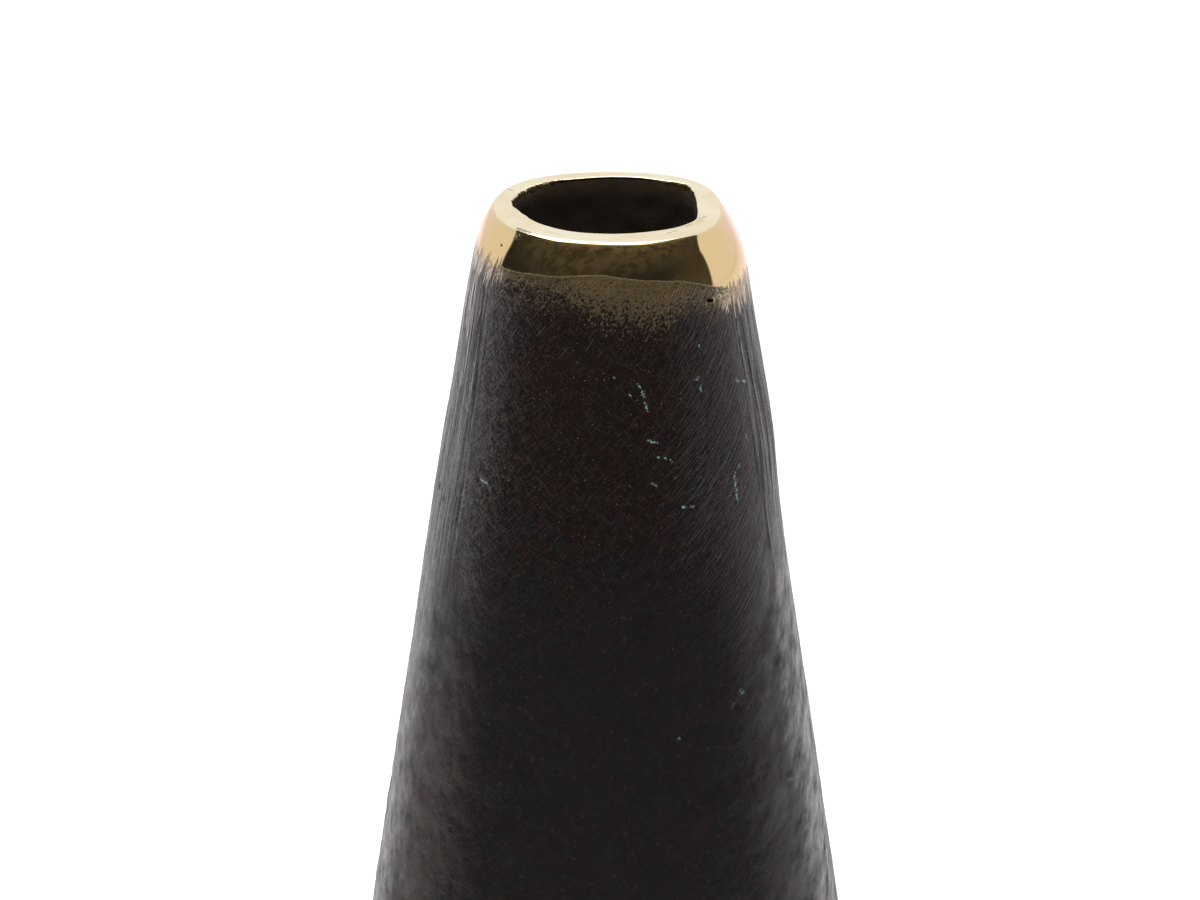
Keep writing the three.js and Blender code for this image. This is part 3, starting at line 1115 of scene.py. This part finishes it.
class VASE_OT_foot(bpy.types.Operator):
    """Gives the base plate its finish and builds the solder bead and the felt under it"""

    bl_idname = "vase.foot"
    bl_label = "Foot"

    def execute(self, context):
        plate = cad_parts["base_plate"]
        plate.data.materials.clear()
        plate.data.materials.append(plain_brass())
        self.solder_bead()
        self.felt_pad()
        return {"FINISHED"}

    def solder_bead(self):
        angles, square = foot_outline()
        leg = SOLDER_HIGH.z - SOLDER_LOW.z
        rows = []
        for turn in np.linspace(0, TURN / 4, 7):
            reach = SOLDER_HIGH.x - leg + leg * 0.98 * math.sin(turn) ** 2
            low = SOLDER_HIGH.z - leg * (1 - math.cos(turn) ** 2) ** 2
            row = ring(angles, reach * square, low)
            row[:, 2] -= np.abs(waves(row, 5 * MM, 21)) * 0.1 * MM * math.sin(2 * turn)
            rows.append(row)
        rows.append(ring(angles, SOLDER_HIGH.x * square, SOLDER_HIGH.z))
        piece = closed_mesh("solder_bead", rows)
        piece.data.materials.append(soft_solder())
        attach(piece, ROOT)
        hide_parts("solder_seam")

    def felt_pad(self):
        angles, square = foot_outline()
        edge = 0.3 * MM
        rows = []
        for share in np.linspace(FELT_CENTRE, 1, 50):
            row = ring(angles, (FELT_HIGH.x - edge) * share * square, FELT_LOW.z)
            row[:, 2] += np.abs(waves(row, 1.6 * MM, 31, 60)) * 0.08 * MM
            rows.append(row)
        for height in np.linspace(edge, FELT_HIGH.z, 8):
            row = ring(angles, FELT_HIGH.x * square, height)
            row[:, :2] *= 1 - (np.abs(waves(row, 1.2 * MM, 32, 60)) * 0.004)[:, None]
            rows.append(row)
        for share in np.linspace(0.98, FELT_CENTRE, 30):
            rows.append(ring(angles, FELT_HIGH.x * share * square, FELT_HIGH.z))
        piece = closed_mesh("felt_sole", rows)
        piece.data.materials.append(wool_felt())
        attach(piece, ROOT)
        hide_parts("felt_pad")


class VASE_OT_stage(bpy.types.Operator):
    """Builds the pale floor, the soft surroundings, the lamp and the camera"""

    bl_idname = "vase.stage"
    bl_label = "Stage"

    def execute(self, context):
        self.floor(context.scene.vase_stage)
        self.surroundings(context.scene)
        self.lamp()
        self.camera(context.scene)
        context.scene.view_settings.view_transform = "Standard"
        return {"FINISHED"}

    def floor(self, stage):
        """A white board. It ends in front of the vase, so the brass shows the dim room there."""
        half = stage.floor_half
        front = -stage.floor_front
        mesh = bpy.data.meshes.new("floor")
        mesh.from_pydata(
            [(-half, front, 0), (half, front, 0), (half, half, 0), (-half, half, 0)], [], [(0, 1, 2, 3)]
        )
        floor = bpy.data.objects.new("floor", mesh)
        bpy.context.collection.objects.link(floor)
        material, nodes, shader = new_material("floor")
        nodes.plug_all(shader, {
            "Base Color": FLOOR_GREY,
            "Roughness": 0.9,
            "Emission Color": WHITE,
            "Emission Strength": nodes.larger(*nodes.seen()) * FLOOR_GLOW,
        })
        mesh.materials.append(material)

    def surroundings(self, scene):
        """White all round for the camera. Brass also shows the dim room in front of the vase,
        which is darkest at table height and ends in a warm edge under the lamp."""
        world = bpy.data.worlds.new("studio")
        scene.world = world
        world.use_nodes = True
        nodes = Nodes(world.node_tree)
        background = next(node for node in nodes.tree.nodes if node.type == "BACKGROUND")
        direction = nodes.node("ShaderNodeTexCoord", output="Generated")
        x, y, z = nodes.split(direction)
        behind = nodes.smooth(y + x * 0.12 - nodes.smooth(z, 0.4, 0.78) * 0.39, 0.10, 0.145)
        room = nodes.noise(direction, 9.0, 6.0, 0.7)
        tint = nodes.noise(direction, 13.0, 4.0, 0.6)
        mirrored = nodes.layers(
            ROOM_LOW,
            (nodes.smooth(z, 0.10, 0.30), ROOM_TABLE),
            (nodes.smooth(z, 0.36, 0.72), ROOM_WALL),
            (nodes.smooth(z, 0.70, 0.88), ROOM_CEILING),
            (nodes.smooth(room, 0.58, 0.40) * 0.75, ROOM_SHADE),
            (nodes.smooth(tint, 0.56, 0.68) * 0.6, ROOM_GREEN),
            (nodes.smooth(z, 0.88, 0.95), ROOM_LAMPLIGHT),
            (nodes.smooth(x, 0.55, 0.95) * 0.5, ROOM_RIGHT),
            (behind, WHITE),
        )
        camera, mirror = nodes.seen()
        colour = nodes.layers(ROOM_FILL, (mirror, mirrored), (camera, WHITE))
        nodes.plug(background.inputs["Color"], colour)

    def lamp(self):
        light = bpy.data.lights.new("overhead", "AREA")
        light.shape = "SQUARE"
        light.size = LAMP_SIDE
        light.energy = LAMP_WATTS
        lamp = bpy.data.objects.new("overhead", light)
        lamp.location = LAMP_PLACE
        lamp.rotation_euler = LAMP_TILT
        bpy.context.collection.objects.link(lamp)

    def camera(self, scene):
        stage = scene.vase_stage
        camera = bpy.data.objects.new("camera", bpy.data.cameras.new("camera"))
        camera.data.lens = stage.lens
        camera.data.sensor_width = SENSOR_WIDTH
        camera.data.clip_start = 0.01
        camera.location = (
            -stage.aside,
            -stage.distance * math.cos(stage.elevation),
            CASTING_HIGH.z + stage.distance * math.sin(stage.elevation),
        )
        pitch = stage.elevation + stage.lip_above_axis
        camera.rotation_euler = (math.pi / 2 - pitch, 0, 0)
        bpy.context.collection.objects.link(camera)
        scene.camera = camera


class VASE_PT_sidebar(bpy.types.Panel):
    """The vase's sizes and finishes, and a button for each of its pieces"""

    bl_label = "Brass Vase"
    bl_space_type = "VIEW_3D"
    bl_region_type = "UI"
    bl_category = "Vase"

    def draw(self, context):
        layout = self.layout
        for group in (context.scene.vase_shape, context.scene.vase_finish, context.scene.vase_stage):
            box = layout.box()
            for name in group.__annotations__:
                box.prop(group, name)
        for step in STEPS:
            layout.operator(step.bl_idname)


GROUPS = {"vase_shape": VaseShape, "vase_finish": VaseFinish, "vase_stage": VaseStage}
STEPS = (VASE_OT_stage, VASE_OT_casting, VASE_OT_foot)


def register():
    for kind in (*GROUPS.values(), *STEPS, VASE_PT_sidebar):
        bpy.utils.register_class(kind)
    for name, kind in GROUPS.items():
        setattr(bpy.types.Scene, name, PointerProperty(type=kind))


def unregister():
    for name in GROUPS:
        delattr(bpy.types.Scene, name)
    for kind in reversed((*GROUPS.values(), *STEPS, VASE_PT_sidebar)):
        bpy.utils.unregister_class(kind)


def main():
    register()
    bpy.ops.vase.stage()
    bpy.ops.vase.casting()
    bpy.ops.vase.foot()


if __name__ == "__main__":
    main()
